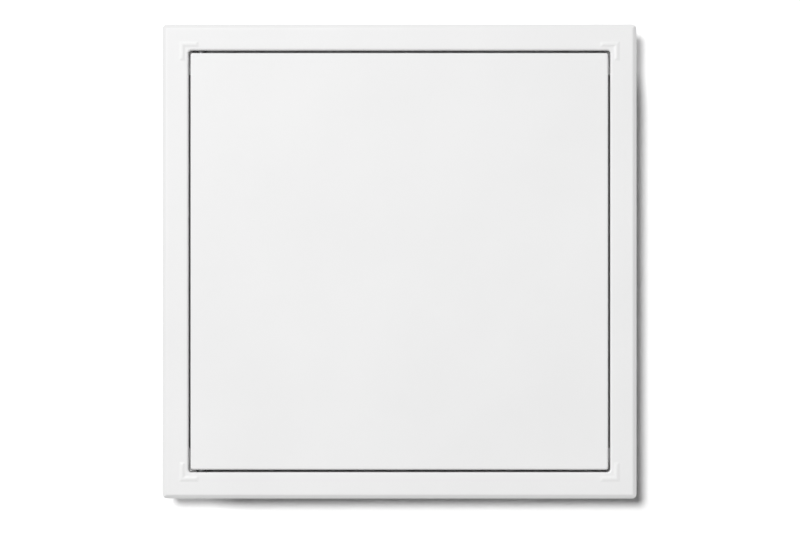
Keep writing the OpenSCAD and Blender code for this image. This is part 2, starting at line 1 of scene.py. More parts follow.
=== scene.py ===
"""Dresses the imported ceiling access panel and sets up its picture.

Each sub-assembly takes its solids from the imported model, smooths their folds, adds the coiled and turned
small parts that the solids leave plain, and gives every piece its finish.
"""
import json
import logging
import math
from dataclasses import dataclass, field
from enum import Enum
from typing import ClassVar, Iterable, Sequence

import bpy
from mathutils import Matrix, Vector

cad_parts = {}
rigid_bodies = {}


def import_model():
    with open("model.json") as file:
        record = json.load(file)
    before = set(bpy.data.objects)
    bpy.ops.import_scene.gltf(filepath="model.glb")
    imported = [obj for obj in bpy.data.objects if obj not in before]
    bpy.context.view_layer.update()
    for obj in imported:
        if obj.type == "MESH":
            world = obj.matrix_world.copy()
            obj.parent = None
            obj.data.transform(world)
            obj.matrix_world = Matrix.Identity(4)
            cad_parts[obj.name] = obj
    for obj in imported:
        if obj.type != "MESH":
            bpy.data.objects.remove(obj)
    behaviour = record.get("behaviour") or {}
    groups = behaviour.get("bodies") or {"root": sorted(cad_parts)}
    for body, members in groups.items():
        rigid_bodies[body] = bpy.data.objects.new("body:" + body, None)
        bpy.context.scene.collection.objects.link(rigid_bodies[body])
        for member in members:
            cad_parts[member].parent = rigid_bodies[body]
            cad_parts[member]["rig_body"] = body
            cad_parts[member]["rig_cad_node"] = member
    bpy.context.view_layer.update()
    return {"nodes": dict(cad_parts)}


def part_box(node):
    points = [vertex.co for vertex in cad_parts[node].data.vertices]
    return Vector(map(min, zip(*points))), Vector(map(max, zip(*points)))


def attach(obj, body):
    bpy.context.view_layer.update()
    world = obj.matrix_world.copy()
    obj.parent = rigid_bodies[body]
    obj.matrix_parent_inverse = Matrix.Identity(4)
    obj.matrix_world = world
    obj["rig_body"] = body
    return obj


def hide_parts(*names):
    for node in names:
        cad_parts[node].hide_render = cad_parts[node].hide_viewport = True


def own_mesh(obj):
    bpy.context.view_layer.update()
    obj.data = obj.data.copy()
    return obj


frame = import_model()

LOG = logging.getLogger("access_panel")

Triple = tuple[float, float, float]


class Body(Enum):
    """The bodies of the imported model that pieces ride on."""

    FRAME = "frame"
    DOOR = "door"
    BOLT_TOP = "bolt_top"
    BOLT_BOTTOM = "bolt_bottom"
    PLUNGER_UPPER = "plunger_upper"
    PLUNGER_LOWER = "plunger_lower"


class Axis(Enum):
    """The axes that pieces are turned or wound on: out of the panel's face, and up it."""

    THROUGH = 1
    UP = 2


@dataclass(frozen=True)
class Place:
    """A spot on the panel and the direction that a small piece's top faces there."""

    spot: Triple
    top: Triple


def clear_selection() -> None:
    """Leaves edit mode and deselects everything."""
    if bpy.context.mode != "OBJECT":
        bpy.ops.object.mode_set(mode="OBJECT")
    bpy.ops.object.select_all(action="DESELECT")


def pick(piece: bpy.types.Object) -> None:
    """Makes one object the only selected and the active one.

    Args:
        piece: The object that the next operators act on.
    """
    clear_selection()
    piece.select_set(True)
    bpy.context.view_layer.objects.active = piece


def apply_modifier(piece: bpy.types.Object, kind: str, **settings: object) -> None:
    """Adds a modifier to an object and applies it at once.

    Args:
        piece: The object to change.
        kind: Blender's name of the modifier's type.
        **settings: The modifier's own properties.
    """
    pick(piece)
    modifier = piece.modifiers.new(kind.title(), kind)
    for key, value in settings.items():
        setattr(modifier, key, value)
    bpy.ops.object.modifier_apply(modifier=modifier.name)


def smooth_by_angle(piece: bpy.types.Object, degrees: float) -> None:
    """Shades an object smooth across all edges flatter than an angle.

    Args:
        piece: The object to shade.
        degrees: Edges sharper than this stay sharp.
    """
    pick(piece)
    bpy.ops.object.shade_smooth_by_angle(angle=math.radians(degrees))


def tinted(colour: Triple, *factors: float) -> Triple:
    """Scales a colour's channels and keeps them from passing white.

    Args:
        colour: Linear colour.
        *factors: One factor for all channels, or one for each.

    Returns:
        The scaled colour.
    """
    each = factors if len(factors) == len(colour) else factors * len(colour)
    return tuple(min(1.0, channel * factor) for channel, factor in zip(colour, each))


class NodeBench:
    """Builds one material's nodes round its principled shader, on Object coordinates in metres."""

    MIX_SHARE: ClassVar[int] = 0
    MIX_FIRST: ClassVar[int] = 6
    MIX_SECOND: ClassVar[int] = 7
    MIX_COLOUR: ClassVar[int] = 2

    def __init__(self, name: str) -> None:
        """Starts an empty material.

        Args:
            name: The material's name.
        """
        self.material = bpy.data.materials.new(name)
        self.material.use_nodes = True
        self.tree = self.material.node_tree
        self.shader = self.tree.nodes["Principled BSDF"]
        self.place = self.tree.nodes.new("ShaderNodeTexCoord").outputs["Object"]

    def node(self, kind: str, **inputs: object) -> bpy.types.Node:
        """Adds a node and fills its sockets.

        Args:
            kind: The node's type without its ShaderNode prefix.
            **inputs: Sockets by name, with _ for a space; a socket is linked and any other value is set.

        Returns:
            The new node.
        """
        new = self.tree.nodes.new("ShaderNode" + kind)
        for key, value in inputs.items():
            self.feed(new.inputs[key.replace("_", " ")], value)
        return new

    def feed(self, socket: bpy.types.NodeSocket, value: object) -> None:
        """Links a socket to another node's output, or sets its value.

        Args:
            socket: The input to fill.
            value: An output socket or a plain value.
        """
        if isinstance(value, bpy.types.NodeSocket):
            self.tree.links.new(value, socket)
        else:
            socket.default_value = value

    def set(self, **inputs: object) -> None:
        """Fills sockets of the principled shader by name, with _ for a space."""
        for key, value in inputs.items():
            self.feed(self.shader.inputs[key.replace("_", " ")], value)

    def stretched(self, factors: Triple) -> bpy.types.NodeSocket:
        """The place on the piece with its axes scaled.

        Args:
            factors: Scale along the three axes.

        Returns:
            The scaled coordinates.
        """
        return self.node("Mapping", Vector=self.place, Scale=factors).outputs["Vector"]

    def noise(self, grain: float, detail: float = 2.0, stretch: Triple = (1, 1, 1)) -> bpy.types.NodeSocket:
        """Soft noise with features of a real size.

        Args:
            grain: Size of the features in metres.
            detail: Number of finer layers.
            stretch: Scale along the three axes, for streaks.

        Returns:
            The noise's value, about 0.3 to 0.7.
        """
        texture = self.node("TexNoise", Vector=self.stretched(stretch), Scale=1 / grain, Detail=detail)
        return texture.outputs["Fac"]

    def cells(self, size: float) -> bpy.types.NodeSocket:
        """Distance from the nearest cell centre of a foam-like pattern.

        Args:
            size: Size of the cells in metres.

        Returns:
            The distance, 0 to about 1.
        """
        return self.node("TexVoronoi", Vector=self.place, Scale=1 / size).outputs["Distance"]

    def ranged(self, value: bpy.types.NodeSocket, low: float, high: float,
               start: float = 0.3, end: float = 0.7) -> bpy.types.NodeSocket:
        """Spreads a value over a range.

        Args:
            value: The value to spread.
            low: Result at start.
            high: Result at end.
            start: The value that becomes low.
            end: The value that becomes high.

        Returns:
            The spread value.
        """
        spread = self.node("MapRange", Value=value, From_Min=start, From_Max=end, To_Min=low, To_Max=high)
        return spread.outputs["Result"]

    def blend(self, share: bpy.types.NodeSocket, first: Triple, second: Triple) -> bpy.types.NodeSocket:
        """Mixes two colours by a value.

        Args:
            share: 0 for the first colour, 1 for the second.
            first: Linear colour.
            second: Linear colour.

        Returns:
            The mixed colour.
        """
        mix = self.tree.nodes.new("ShaderNodeMix")
        mix.data_type = "RGBA"
        self.tree.links.new(share, mix.inputs[self.MIX_SHARE])
        mix.inputs[self.MIX_FIRST].default_value = (*first, 1)
        mix.inputs[self.MIX_SECOND].default_value = (*second, 1)
        return mix.outputs[self.MIX_COLOUR]

    def relief(self, *layers: tuple[bpy.types.NodeSocket, float]) -> None:
        """Stacks bump layers on the shader's normal.

        Args:
            *layers: Height socket and depth in metres for each layer.
        """
        normal = None
        for height, depth in layers:
            bump = self.node("Bump", Height=height, Strength=1.0, Distance=depth)
            if normal is not None:
                self.tree.links.new(normal, bump.inputs["Normal"])
            normal = bump.outputs["Normal"]
        self.tree.links.new(normal, self.shader.inputs["Normal"])


@dataclass(frozen=True)
class PowderCoat:
    """White semi-gloss powder coat on sheet steel, with fine orange peel.

    Attributes:
        name: The material's name.
        colour: Linear colour.
        roughness: Roughness of the film, which specks make smoother and rougher.
        smoother: Roughness lost in the smoothest specks.
        rougher: Roughness gained in the roughest specks.
        specular: Level of the film's reflection.
        cloud: Size of the clouds in the tint, in metres.
        duller: Factor on the colour in the dull clouds.
        paler: Factor on the colour in the pale clouds.
        peel: Size of the orange peel, in metres.
        peel_depth: Depth of the peel, in metres.
        speck_share: Size of the specks, as a share of the peel.
        fine_share: Size of the finer peel, as a share of the peel.
        fine_depth: Depth of the finer peel, in metres.
    """

    name: str = "white_powder_coat"
    colour: Triple = (0.866, 0.866, 0.866)
    roughness: float = 0.37
    smoother: float = 0.04
    rougher: float = 0.05
    specular: float = 0.42
    cloud: float = 0.11
    duller: float = 0.985
    paler: float = 1.012
    peel: float = 0.0016
    peel_depth: float = 0.000018
    speck_share: float = 0.8
    fine_share: float = 0.2
    fine_depth: float = 0.000003

    def make(self) -> bpy.types.Material:
        """Builds the coat's material.

        Returns:
            The new material.
        """
        bench = NodeBench(self.name)
        cloud = bench.ranged(bench.noise(self.cloud, detail=3.0), 0.0, 1.0)
        speck = bench.noise(self.peel * self.speck_share, detail=1.0)
        dull, pale = tinted(self.colour, self.duller), tinted(self.colour, self.paler)
        low, high = self.roughness - self.smoother, self.roughness + self.rougher
        bench.set(Base_Color=bench.blend(cloud, dull, pale), Roughness=bench.ranged(speck, low, high),
                  Specular_IOR_Level=self.specular)
        bench.relief((bench.noise(self.peel, detail=1.5), self.peel_depth),
                     (bench.noise(self.peel * self.fine_share, detail=1.0), self.fine_depth))
        return bench.material


@dataclass(frozen=True)
class PlatedSteel:
    """Bright plating over turned steel, with faint rings along the turning axis.

    Attributes:
        name: The material's name.
        colour: Linear colour.
        turned: The axis that the piece was turned on.
        ring: Width of the turning rings, in metres.
        roughness: Roughness of the plating, which the rings make smoother and rougher.
        smoother: Roughness lost in the smoothest rings.
        rougher: Roughness gained in the roughest rings.
        ring_depth: Depth of the rings, in metres.
        ring_stretch: Scale of the pattern across the axis, which draws it out into rings.
        bloom: Size of the tinted clouds, in metres.
        cool: Factors on the colour in the cool clouds.
        warm: Factors on the colour in the warm clouds.
        grit: Size of the fine grit, in metres.
        grit_depth: Depth of the grit, in metres.
    """

    name: str
    colour: Triple
    turned: Axis
    ring: float = 0.00032
    roughness: float = 0.27
    smoother: float = 0.07
    rougher: float = 0.12
    ring_depth: float = 0.000012
    ring_stretch: float = 0.04
    bloom: float = 0.004
    cool: Triple = (0.93, 0.97, 1.02)
    warm: Triple = (1.05, 1.02, 0.96)
    grit: float = 0.0006
    grit_depth: float = 0.000004

    def make(self) -> bpy.types.Material:
        """Builds the plating's material.

        Returns:
            The new material.
        """
        bench = NodeBench(self.name)
        stretch = tuple(1.0 if axis == self.turned.value else self.ring_stretch for axis in range(3))
        rings = bench.noise(self.ring, stretch=stretch)
        bloom = bench.ranged(bench.noise(self.bloom, detail=3.0), 0.0, 1.0)
        cool, warm = tinted(self.colour, *self.cool), tinted(self.colour, *self.warm)
        low, high = self.roughness - self.smoother, self.roughness + self.rougher
        bench.set(Base_Color=bench.blend(bloom, cool, warm), Metallic=1.0,
                  Roughness=bench.ranged(rings, low, high))
        bench.relief((rings, self.ring_depth), (bench.noise(self.grit), self.grit_depth))
        return bench.material


@dataclass(frozen=True)
class Foam:
    """Black closed-cell foam with its cells showing, its colour darker in their hollows as painted shade.

    Attributes:
        name: The material's name.
        colour: Linear colour of the cells' middles, darkened there as painted shade in the hollows.
        paler: Factor on the colour at the cells' rims, which paints them lighter than the shaded hollows.
        roughness: Roughness all over.
        specular: Level of its reflection.
        cell: Size of the cells, in metres.
        cell_depth: Depth of the cells, in metres.
        wave: Size of the waves in the foam's skin, in metres.
        wave_depth: Depth of the waves, in metres.
    """

    name: str = "black_seal_foam"
    colour: Triple = (0.018, 0.018, 0.019)
    paler: float = 1.9
    roughness: float = 0.92
    specular: float = 0.2
    cell: float = 0.0007
    cell_depth: float = 0.00012
    wave: float = 0.003
    wave_depth: float = 0.00005

    def make(self) -> bpy.types.Material:
        """Builds the foam's material.

        Returns:
            The new material.
        """
        bench = NodeBench(self.name)
        cells = bench.cells(self.cell)
        # Painted shade: 0 in the cells' middles, the hollows of the bump, rising to 1 at their rims, so the
        # colour darkens where the hollows lie.
        hollow_shading = bench.ranged(cells, 0.0, 1.0, start=0.1, end=0.8)
        bench.set(Base_Color=bench.blend(hollow_shading, self.colour, tinted(self.colour, self.paler)),
                  Roughness=self.roughness, Specular_IOR_Level=self.specular)
        bench.relief((cells, self.cell_depth), (bench.noise(self.wave), self.wave_depth))
        return bench.material


@dataclass(frozen=True)
class MouldedPlastic:
    """Moulded plastic with a fine spark-eroded grain.

    Attributes:
        name: The material's name.
        colour: Linear colour.
        roughness: Roughness, which the grain makes smoother and rougher.
        smoother: Roughness lost in the smoothest grain.
        rougher: Roughness gained in the roughest grain.
        grain: Size of the grain, in metres.
        depth: Depth of the grain, in metres.
        flow: Size of the flow clouds in the colour, in metres.
        duller: Factor on the colour in the dull clouds.
        paler: Factor on the colour in the pale clouds.
    """

    name: str
    colour: Triple
    roughness: float
    smoother: float = 0.06
    rougher: float = 0.08
    grain: float = 0.00045
    depth: float = 0.00001
    flow: float = 0.012
    duller: float = 0.94
    paler: float = 1.05

    def make(self) -> bpy.types.Material:
        """Builds the plastic's material.

        Returns:
            The new material.
        """
        bench = NodeBench(self.name)
        flow = bench.ranged(bench.noise(self.flow), 0.0, 1.0)
        grain = bench.noise(self.grain)
        dull, pale = tinted(self.colour, self.duller), tinted(self.colour, self.paler)
        low, high = self.roughness - self.smoother, self.roughness + self.rougher
        bench.set(Base_Color=bench.blend(flow, dull, pale), Roughness=bench.ranged(grain, low, high))
        bench.relief((grain, self.depth))
        return bench.material


@dataclass(frozen=True)
class FinishRack:
    """The finishes that the pieces share, made once."""

    coat: bpy.types.Material
    foam: bpy.types.Material
    bush: bpy.types.Material
    housing: bpy.types.Material
    cap: bpy.types.Material
    plunger: bpy.types.Material
    bolt: bpy.types.Material
    wire: bpy.types.Material
    screw: bpy.types.Material
    magnet: bpy.types.Material

    @classmethod
    def stock(cls) -> "FinishRack":
        """Makes every finish of the panel.

        Returns:
            The filled rack.
        """
        return cls(
            coat=PowderCoat().make(),
            foam=Foam().make(),
            bush=MouldedPlastic("black_nylon_bush", (0.032, 0.032, 0.033), 0.42).make(),
            housing=MouldedPlastic("grey_latch_plastic", (0.52, 0.525, 0.53), 0.44).make(),
            cap=MouldedPlastic("dark_cap_plastic", (0.085, 0.087, 0.09), 0.47).make(),
            plunger=MouldedPlastic("acetal_plunger", (0.74, 0.735, 0.71), 0.33).make(),
            bolt=PlatedSteel("zinc_bolt", (0.34, 0.345, 0.35), Axis.UP, roughness=0.36).make(),
            wire=PlatedSteel("drawn_spring_wire", (0.50, 0.50, 0.50), Axis.UP,
                             ring=0.00012, roughness=0.24).make(),
            screw=PlatedSteel("zinc_screw", (0.64, 0.64, 0.63), Axis.THROUGH).make(),
            magnet=PlatedSteel("nickel_magnet", (0.60, 0.585, 0.555), Axis.THROUGH,
                               ring=0.0004, roughness=0.18).make(),
        )


class Assembly:
    """Shared steps of the sub-assemblies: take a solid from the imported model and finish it.

    Attributes:
        MERGE_GAP: Vertices of a solid nearer than this are one, in metres.
        FLAT_DEGREES: Faces that meet flatter than this are one flat before edges are broken.
        SQUARE_DEGREES: Edges sharper than this are broken.
        EDGE_STEPS: Facets of a broken edge.
        FLAT_WEIGHT: How strongly large faces keep their shading flat, 1 to 100.
        LEVEL_GAP: Faces whose heights differ by less than this are level, in metres.
        FACING: Least share of a face's normal along z that counts as facing that way.
    """

    MERGE_GAP: ClassVar[float] = 0.000002
    FLAT_DEGREES: ClassVar[float] = 0.5
    SQUARE_DEGREES: ClassVar[float] = 50.0
    EDGE_STEPS: ClassVar[int] = 3
    FLAT_WEIGHT: ClassVar[int] = 100
    LEVEL_GAP: ClassVar[float] = 1e-6
    FACING: ClassVar[float] = 0.9

    def dress(self, node: str, body: Body, finish: bpy.types.Material, slot: str,
              smooth_degrees: float = 32.0, edge_r: float = 0.0) -> bpy.types.Object:
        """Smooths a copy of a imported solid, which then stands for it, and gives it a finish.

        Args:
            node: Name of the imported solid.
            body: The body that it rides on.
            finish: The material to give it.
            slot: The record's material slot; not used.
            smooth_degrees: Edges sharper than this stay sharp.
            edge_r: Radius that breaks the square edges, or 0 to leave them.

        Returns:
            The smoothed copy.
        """
        pick(frame["nodes"][node])
        bpy.ops.object.duplicate()
        piece = bpy.context.view_layer.objects.active
        piece.name = node + "_finished"
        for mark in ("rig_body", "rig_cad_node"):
            if mark in piece:
                del piece[mark]
        bpy.ops.mesh.customdata_custom_splitnormals_clear()
        bpy.ops.object.mode_set(mode="EDIT")
        bpy.ops.mesh.select_all(action="SELECT")
        bpy.ops.mesh.remove_doubles(threshold=self.MERGE_GAP)
        if edge_r:
            bpy.ops.mesh.dissolve_limited(angle_limit=math.radians(self.FLAT_DEGREES))
        bpy.ops.object.mode_set(mode="OBJECT")
        if edge_r:
            apply_modifier(piece, "BEVEL", width=edge_r, segments=self.EDGE_STEPS, limit_method="ANGLE",
                           angle_limit=math.radians(self.SQUARE_DEGREES))
        smooth_by_angle(piece, smooth_degrees)
        weighted = piece.modifiers.new("Flat faces stay flat", "WEIGHTED_NORMAL")
        weighted.keep_sharp = True
        weighted.weight = self.FLAT_WEIGHT
        self.finish(piece, finish)
        self.finish(frame["nodes"][node], finish)
        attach(piece, body.value)
        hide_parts(node)
        LOG.info("%s rides on %s", piece.name, body.value)
        return piece

    @staticmethod
    def finish(piece: bpy.types.Object, material: bpy.types.Material) -> None:
        """Gives a piece one material all over."""
        piece.data.materials.clear()
        piece.data.materials.append(material)

    @staticmethod
    def set_out(first: bpy.types.Object, places: Sequence[Place]) -> list[bpy.types.Object]:
        """Copies a piece modelled at the origin to each of its places.

        Args:
            first: The modelled piece, which goes to the first place.
            places: Where the pieces go, and where their tops face.

        Returns:
            One object for each place, with its place in its mesh.
        """
        copies = [first]
        for _ in places[1:]:
            pick(first)
            bpy.ops.object.duplicate()
            copies.append(bpy.context.view_layer.objects.active)
        for copy, place in zip(copies, places):
            pick(copy)
            copy.rotation_euler = Vector(place.top).to_track_quat("Z", "Y").to_euler()
            copy.location = place.spot
            bpy.ops.object.transform_apply(location=True, rotation=True, scale=True)
        return copies

    @classmethod
    def select_faces(cls, piece: bpy.types.Object, sense: int) -> None:
        """Enters edit mode with only the outermost faces along z selected.

        Args:
            piece: The object to edit.
            sense: 1 for the top, -1 for the bottom.
        """
        pick(piece)
        edge = max(sense * vertex.co.z for vertex in piece.data.vertices)
        bpy.ops.object.mode_set(mode="EDIT")
        bpy.ops.mesh.select_mode(type="FACE")
        bpy.ops.mesh.select_all(action="DESELECT")
        bpy.ops.object.mode_set(mode="OBJECT")
        for face in piece.data.polygons:
            level = abs(sense * face.center.z - edge) < cls.LEVEL_GAP
            face.select = level and sense * face.normal.z > cls.FACING
        bpy.ops.object.mode_set(mode="EDIT")


@dataclass
class Surround(Assembly):
    """The folded frame with its cleats, stops, seals and bushes.

    Attributes:
        rack: The finishes.
        bend_degrees: Edges of the folded sheet sharper than this stay sharp.
        seal_edge: Radius of the foam's broken edges.
        mark_h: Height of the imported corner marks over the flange.
        mark_share: Share of that height that is kept.
    """

    rack: FinishRack
    bend_degrees: float = 10.2
    seal_edge: float = 0.00015
    mark_h: float = 0.0004
    mark_share: float = 0.68

    def build(self) -> None:
        """Dresses every piece of the frame."""
        folded = self.dress("frame_surround", Body.FRAME, self.rack.coat, "white_coat",
                            smooth_degrees=self.bend_degrees)
        self.settle_marks(folded)
        for number in range(1, 5):
            self.dress(f"corner_cleat_{number}", Body.FRAME, self.rack.coat, "white_coat")
        for place in ("latch", "hinge", "top", "bottom"):
            self.dress("stop_" + place, Body.FRAME, self.rack.coat, "white_coat")
            self.dress("seal_" + place, Body.FRAME, self.rack.foam, "seal_foam", edge_r=self.seal_edge)
        for place in ("top", "bottom"):
            self.dress("hinge_bush_" + place, Body.FRAME, self.rack.bush, "bush_nylon")

    def settle_marks(self, folded: bpy.types.Object) -> None:
        """Lowers the raised corner marks a little, as under a coat, and keeps their edges crisp.

        Args:
            folded: The dressed frame.
        """
        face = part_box("frame_surround")[0][1] + self.mark_h
        pick(folded)
        bpy.ops.object.mode_set(mode="EDIT")
        bpy.ops.mesh.select_mode(type="VERT")
        bpy.ops.mesh.select_all(action="DESELECT")
        bpy.ops.object.mode_set(mode="OBJECT")
        for vertex in folded.data.vertices:
            vertex.select = vertex.co.y < face - self.mark_h / 2
        bpy.ops.object.mode_set(mode="EDIT")
        bpy.ops.transform.resize(value=(1, self.mark_share, 1), center_override=(0, face, 0))
        bpy.ops.mesh.select_more(use_face_step=True)
        bpy.ops.mesh.mark_sharp()
        bpy.ops.object.mode_set(mode="OBJECT")


@dataclass
class Door(Assembly):
    """The folded door tray with its stiffeners and hinge brackets.

    Attributes:
        rack: The finishes.
        bend_degrees: Edges of the folded tray sharper than this stay sharp.
        stiffener_edge: Radius of the stiffeners' broken edges.
        bracket_edge: Radius of the brackets' broken edges.
    """

    rack: FinishRack
    bend_degrees: float = 24.0
    stiffener_edge: float = 0.0004
    bracket_edge: float = 0.0003

    def build(self) -> None:
        """Dresses every rigid piece of the door."""
        self.dress("door_panel", Body.DOOR, self.rack.coat, "white_coat", smooth_degrees=self.bend_degrees)
        for side in ("left", "right"):
            self.dress("stiffener_" + side, Body.DOOR, self.rack.coat, "white_coat",
                       edge_r=self.stiffener_edge)
        for place in ("top", "bottom"):
            self.dress("hinge_bracket_" + place, Body.DOOR, self.rack.coat, "white_coat",
                       edge_r=self.bracket_edge)


@dataclass
class SpotWelds(Assembly):
    """The pressed, painted-over spot welds along the stiffeners' feet and the stops' wall legs.

    Attributes:
        rack: The finishes.
        radius: Outer radius of a weld's ring.
        lip: Height of the ring.
        pitch: Rough distance between welds in a row.
        foot: Distance of a row from the stiffener's edge.
        door_sheet: Thickness of the stiffeners' sheet.
        stop_sheet: Thickness of the stops' sheet.
        leg_middle: Distance of a row from the stop's rear edge.
        sides: Facets round a weld.
        taper: Scale of the ring's top.
        ring_share: Width of the ring's top, as a share of the radius.
        slope_share: Width of the slope into the dimple, as a share of the radius.
        sink_share: Depth of the dimple, as a share of the lip.
        smooth_degrees: Edges sharper than this stay sharp.
    """

    rack: FinishRack
    radius: float = 0.0026
    lip: float = 0.00022
    pitch: float = 0.045
    foot: float = 0.0055
    door_sheet: float = 0.001
    stop_sheet: float = 0.0012
    leg_middle: float = 0.0048
    sides: int = 20
    taper: float = 0.86
    ring_share: float = 0.16
    slope_share: float = 0.2
    sink_share: float = 0.7
    smooth_degrees: float = 60

    def build(self) -> None:
        """Presses every row of welds."""
        feet = [place for side in ("left", "right") for place in self.stiffener_places("stiffener_" + side)]
        self.press("stiffener_welds", Body.DOOR, feet)
        self.press("stop_welds", Body.FRAME, self.stop_places())

    def stiffener_places(self, node: str) -> list[Place]:
        """Finds the welds along both feet of a stiffener.

        Args:
            node: Name of the stiffener's solid.

        Returns:
            The places on the feet's rear faces.
        """
        low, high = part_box(node)
        return [Place((across, low[1] + self.door_sheet, height), (0, 1, 0))
                for across in (low[0] + self.foot, high[0] - self.foot)
                for height in self.row(low[2], high[2])]

    def stop_places(self) -> list[Place]:
        """Finds the welds along the wall legs of the four stops.

        Returns:
            The places on the legs' inner faces.
        """
        places = []
        for name, side in (("stop_hinge", 1), ("stop_latch", -1)):
            low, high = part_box(name)
            across = low[0] + self.stop_sheet if side > 0 else high[0] - self.stop_sheet
            places += [Place((across, high[1] - self.leg_middle, height), (side, 0, 0))
                       for height in self.row(low[2], high[2])]
        for name, side in (("stop_bottom", 1), ("stop_top", -1)):
            low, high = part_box(name)
            height = low[2] + self.stop_sheet if side > 0 else high[2] - self.stop_sheet
            places += [Place((across, high[1] - self.leg_middle, height), (0, 0, side))
                       for across in self.row(low[0], high[0])]
        return places

    def row(self, start: float, end: float) -> list[float]:
        """Spaces a row of welds evenly between two ends, half a pitch clear of each."""
        count = max(2, round((end - start) / self.pitch))
        return [start + (number + 0.5) * (end - start) / count for number in range(count)]

    def press(self, name: str, body: Body, places: Sequence[Place]) -> None:
        """Models one weld, sets out its copies and joins them.

        Args:
            name: The joined piece's name.
            body: The body that it rides on.
            places: Where the welds go.
        """
        welds = self.set_out(self.model(), places)
        clear_selection()
        for weld in welds:
            weld.select_set(True)
        bpy.context.view_layer.objects.active = welds[0]
        bpy.ops.object.join()
        row = bpy.context.view_layer.objects.active
        row.name = name
        self.finish(row, self.rack.coat)
        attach(row, body.value)
        LOG.info("%s: %d welds ride on %s", row.name, len(places), body.value)

    def model(self) -> bpy.types.Object:
        """Models one weld at the origin: a low ring round a shallow dimple, its top along z.

        Returns:
            The weld.
        """
        clear_selection()
        bpy.ops.mesh.primitive_cylinder_add(vertices=self.sides, radius=self.radius, depth=self.lip,
                                            location=(0, 0, self.lip / 2))
        bpy.ops.object.transform_apply(location=True, rotation=True, scale=True)
        weld = bpy.context.view_layer.objects.active
        self.select_faces(weld, 1)
        bpy.ops.transform.resize(value=(self.taper, self.taper, 1))
        bpy.ops.mesh.inset(thickness=self.radius * self.ring_share)
        bpy.ops.mesh.inset(thickness=self.radius * self.slope_share)
        bpy.ops.transform.translate(value=(0, 0, -self.lip * self.sink_share))
        bpy.ops.object.mode_set(mode="OBJECT")
        smooth_by_angle(weld, self.smooth_degrees)
        return weld


@dataclass
class CoilSpring(Assembly):
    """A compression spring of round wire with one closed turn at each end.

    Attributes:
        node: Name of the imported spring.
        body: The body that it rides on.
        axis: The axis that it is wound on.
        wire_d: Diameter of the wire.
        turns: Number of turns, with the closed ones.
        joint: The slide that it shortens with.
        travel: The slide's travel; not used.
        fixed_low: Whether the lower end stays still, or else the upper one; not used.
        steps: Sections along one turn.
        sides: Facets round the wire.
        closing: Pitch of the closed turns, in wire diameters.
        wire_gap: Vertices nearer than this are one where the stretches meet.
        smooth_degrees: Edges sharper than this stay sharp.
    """

    node: str
    body: Body
    axis: Axis
    wire_d: float
    turns: int
    joint: str
    travel: float
    fixed_low: bool
    steps: int = 28
    sides: int = 12
    closing: float = 1.08
    wire_gap: float = 0.00002
    smooth_degrees: float = 50

    def build(self, finish: bpy.types.Material) -> None:
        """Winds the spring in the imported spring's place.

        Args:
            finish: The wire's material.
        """
        low, high = (Vector(corner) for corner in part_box(self.node))
        centre = (low + high) / 2
        length = high[self.axis.value] - low[self.axis.value]
        coil_r = max(high[i] - low[i] for i in range(3) if i != self.axis.value) / 2 - self.wire_d / 2
        closed = self.wire_d * self.closing
        open_pitch = (length - self.wire_d - 2 * closed) / (self.turns - 2)
        start = self.wire_d / 2 - length / 2
        sections = [(start, 1, closed), (start + closed, self.turns - 2, open_pitch),
                    (length / 2 - self.wire_d / 2 - closed, 1, closed)]
        coils = [self.wind(coil_r, *section) for section in sections]
        clear_selection()
        for coil in coils:
            coil.select_set(True)
        bpy.context.view_layer.objects.active = coils[0]
        bpy.ops.object.join()
        spring = bpy.context.view_layer.objects.active
        spring.name = self.node + "_wound"
        bpy.ops.object.mode_set(mode="EDIT")
        bpy.ops.mesh.select_all(action="SELECT")
        bpy.ops.mesh.remove_doubles(threshold=self.wire_gap)
        bpy.ops.mesh.select_all(action="SELECT")
        bpy.ops.mesh.fill_holes(sides=self.sides)
        bpy.ops.mesh.select_all(action="SELECT")
        bpy.ops.mesh.normals_make_consistent(inside=False)
        bpy.ops.object.mode_set(mode="OBJECT")
        if self.axis is Axis.THROUGH:
            spring.rotation_euler = (math.radians(-90), 0, 0)
        spring.location = centre
        bpy.ops.object.transform_apply(location=True, rotation=True, scale=True)
        smooth_by_angle(spring, self.smooth_degrees)
        self.finish(spring, finish)
        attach(spring, self.body.value)
        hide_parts(self.node)
        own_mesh(spring)
        LOG.info("%s shortens with %s", spring.name, self.joint)

    def wind(self, coil_r: float, height: float, turns: int, pitch: float) -> bpy.types.Object:
        """Sweeps the wire's section round one stretch of even pitch.

        Args:
            coil_r: Radius of the wire's centre line.
            height: Height at which the stretch starts.
            turns: Number of turns.
            pitch: Rise of one turn.

        Returns:
            The open tube of wire.
        """
        clear_selection()
        bpy.ops.mesh.primitive_circle_add(vertices=self.sides, radius=self.wire_d / 2, fill_type="NOTHING",
                                          location=(coil_r, 0, height), rotation=(math.radians(90), 0, 0))
        bpy.ops.object.transform_apply(location=True, rotation=True, scale=True)
        wire = bpy.context.view_layer.objects.active
        apply_modifier(wire, "SCREW", axis="Z", angle=math.tau * turns, screw_offset=pitch * turns,
                       steps=self.steps * turns, render_steps=self.steps * turns, use_merge_vertices=False)
        return wire


@dataclass
class SpringBolt(Assembly):
    """One of the two bent spring bolts that the door turns on.

    Attributes:
        place: Which bolt it is, as its solids are named.
        body: The body that it rides on.
        rack: The finishes.
        wire_d: Diameter of its spring's wire.
        turns: Turns of its spring.
        travel: Travel of the bolt.
    """

    place: str
    body: Body
    rack: FinishRack
    wire_d: float = 0.0008
    turns: int = 8
    travel: float = 0.007

    def build(self) -> None:
        """Dresses the bolt and winds its spring."""
        self.dress("hinge_pin_" + self.place, self.body, self.rack.bolt, "zinc_steel")
        spring = CoilSpring("hinge_spring_" + self.place, Body.DOOR, Axis.UP, self.wire_d, self.turns,
                            f"bolt_{self.place}_slide", self.travel, fixed_low=self.place == "top")
        spring.build(self.rack.wire)


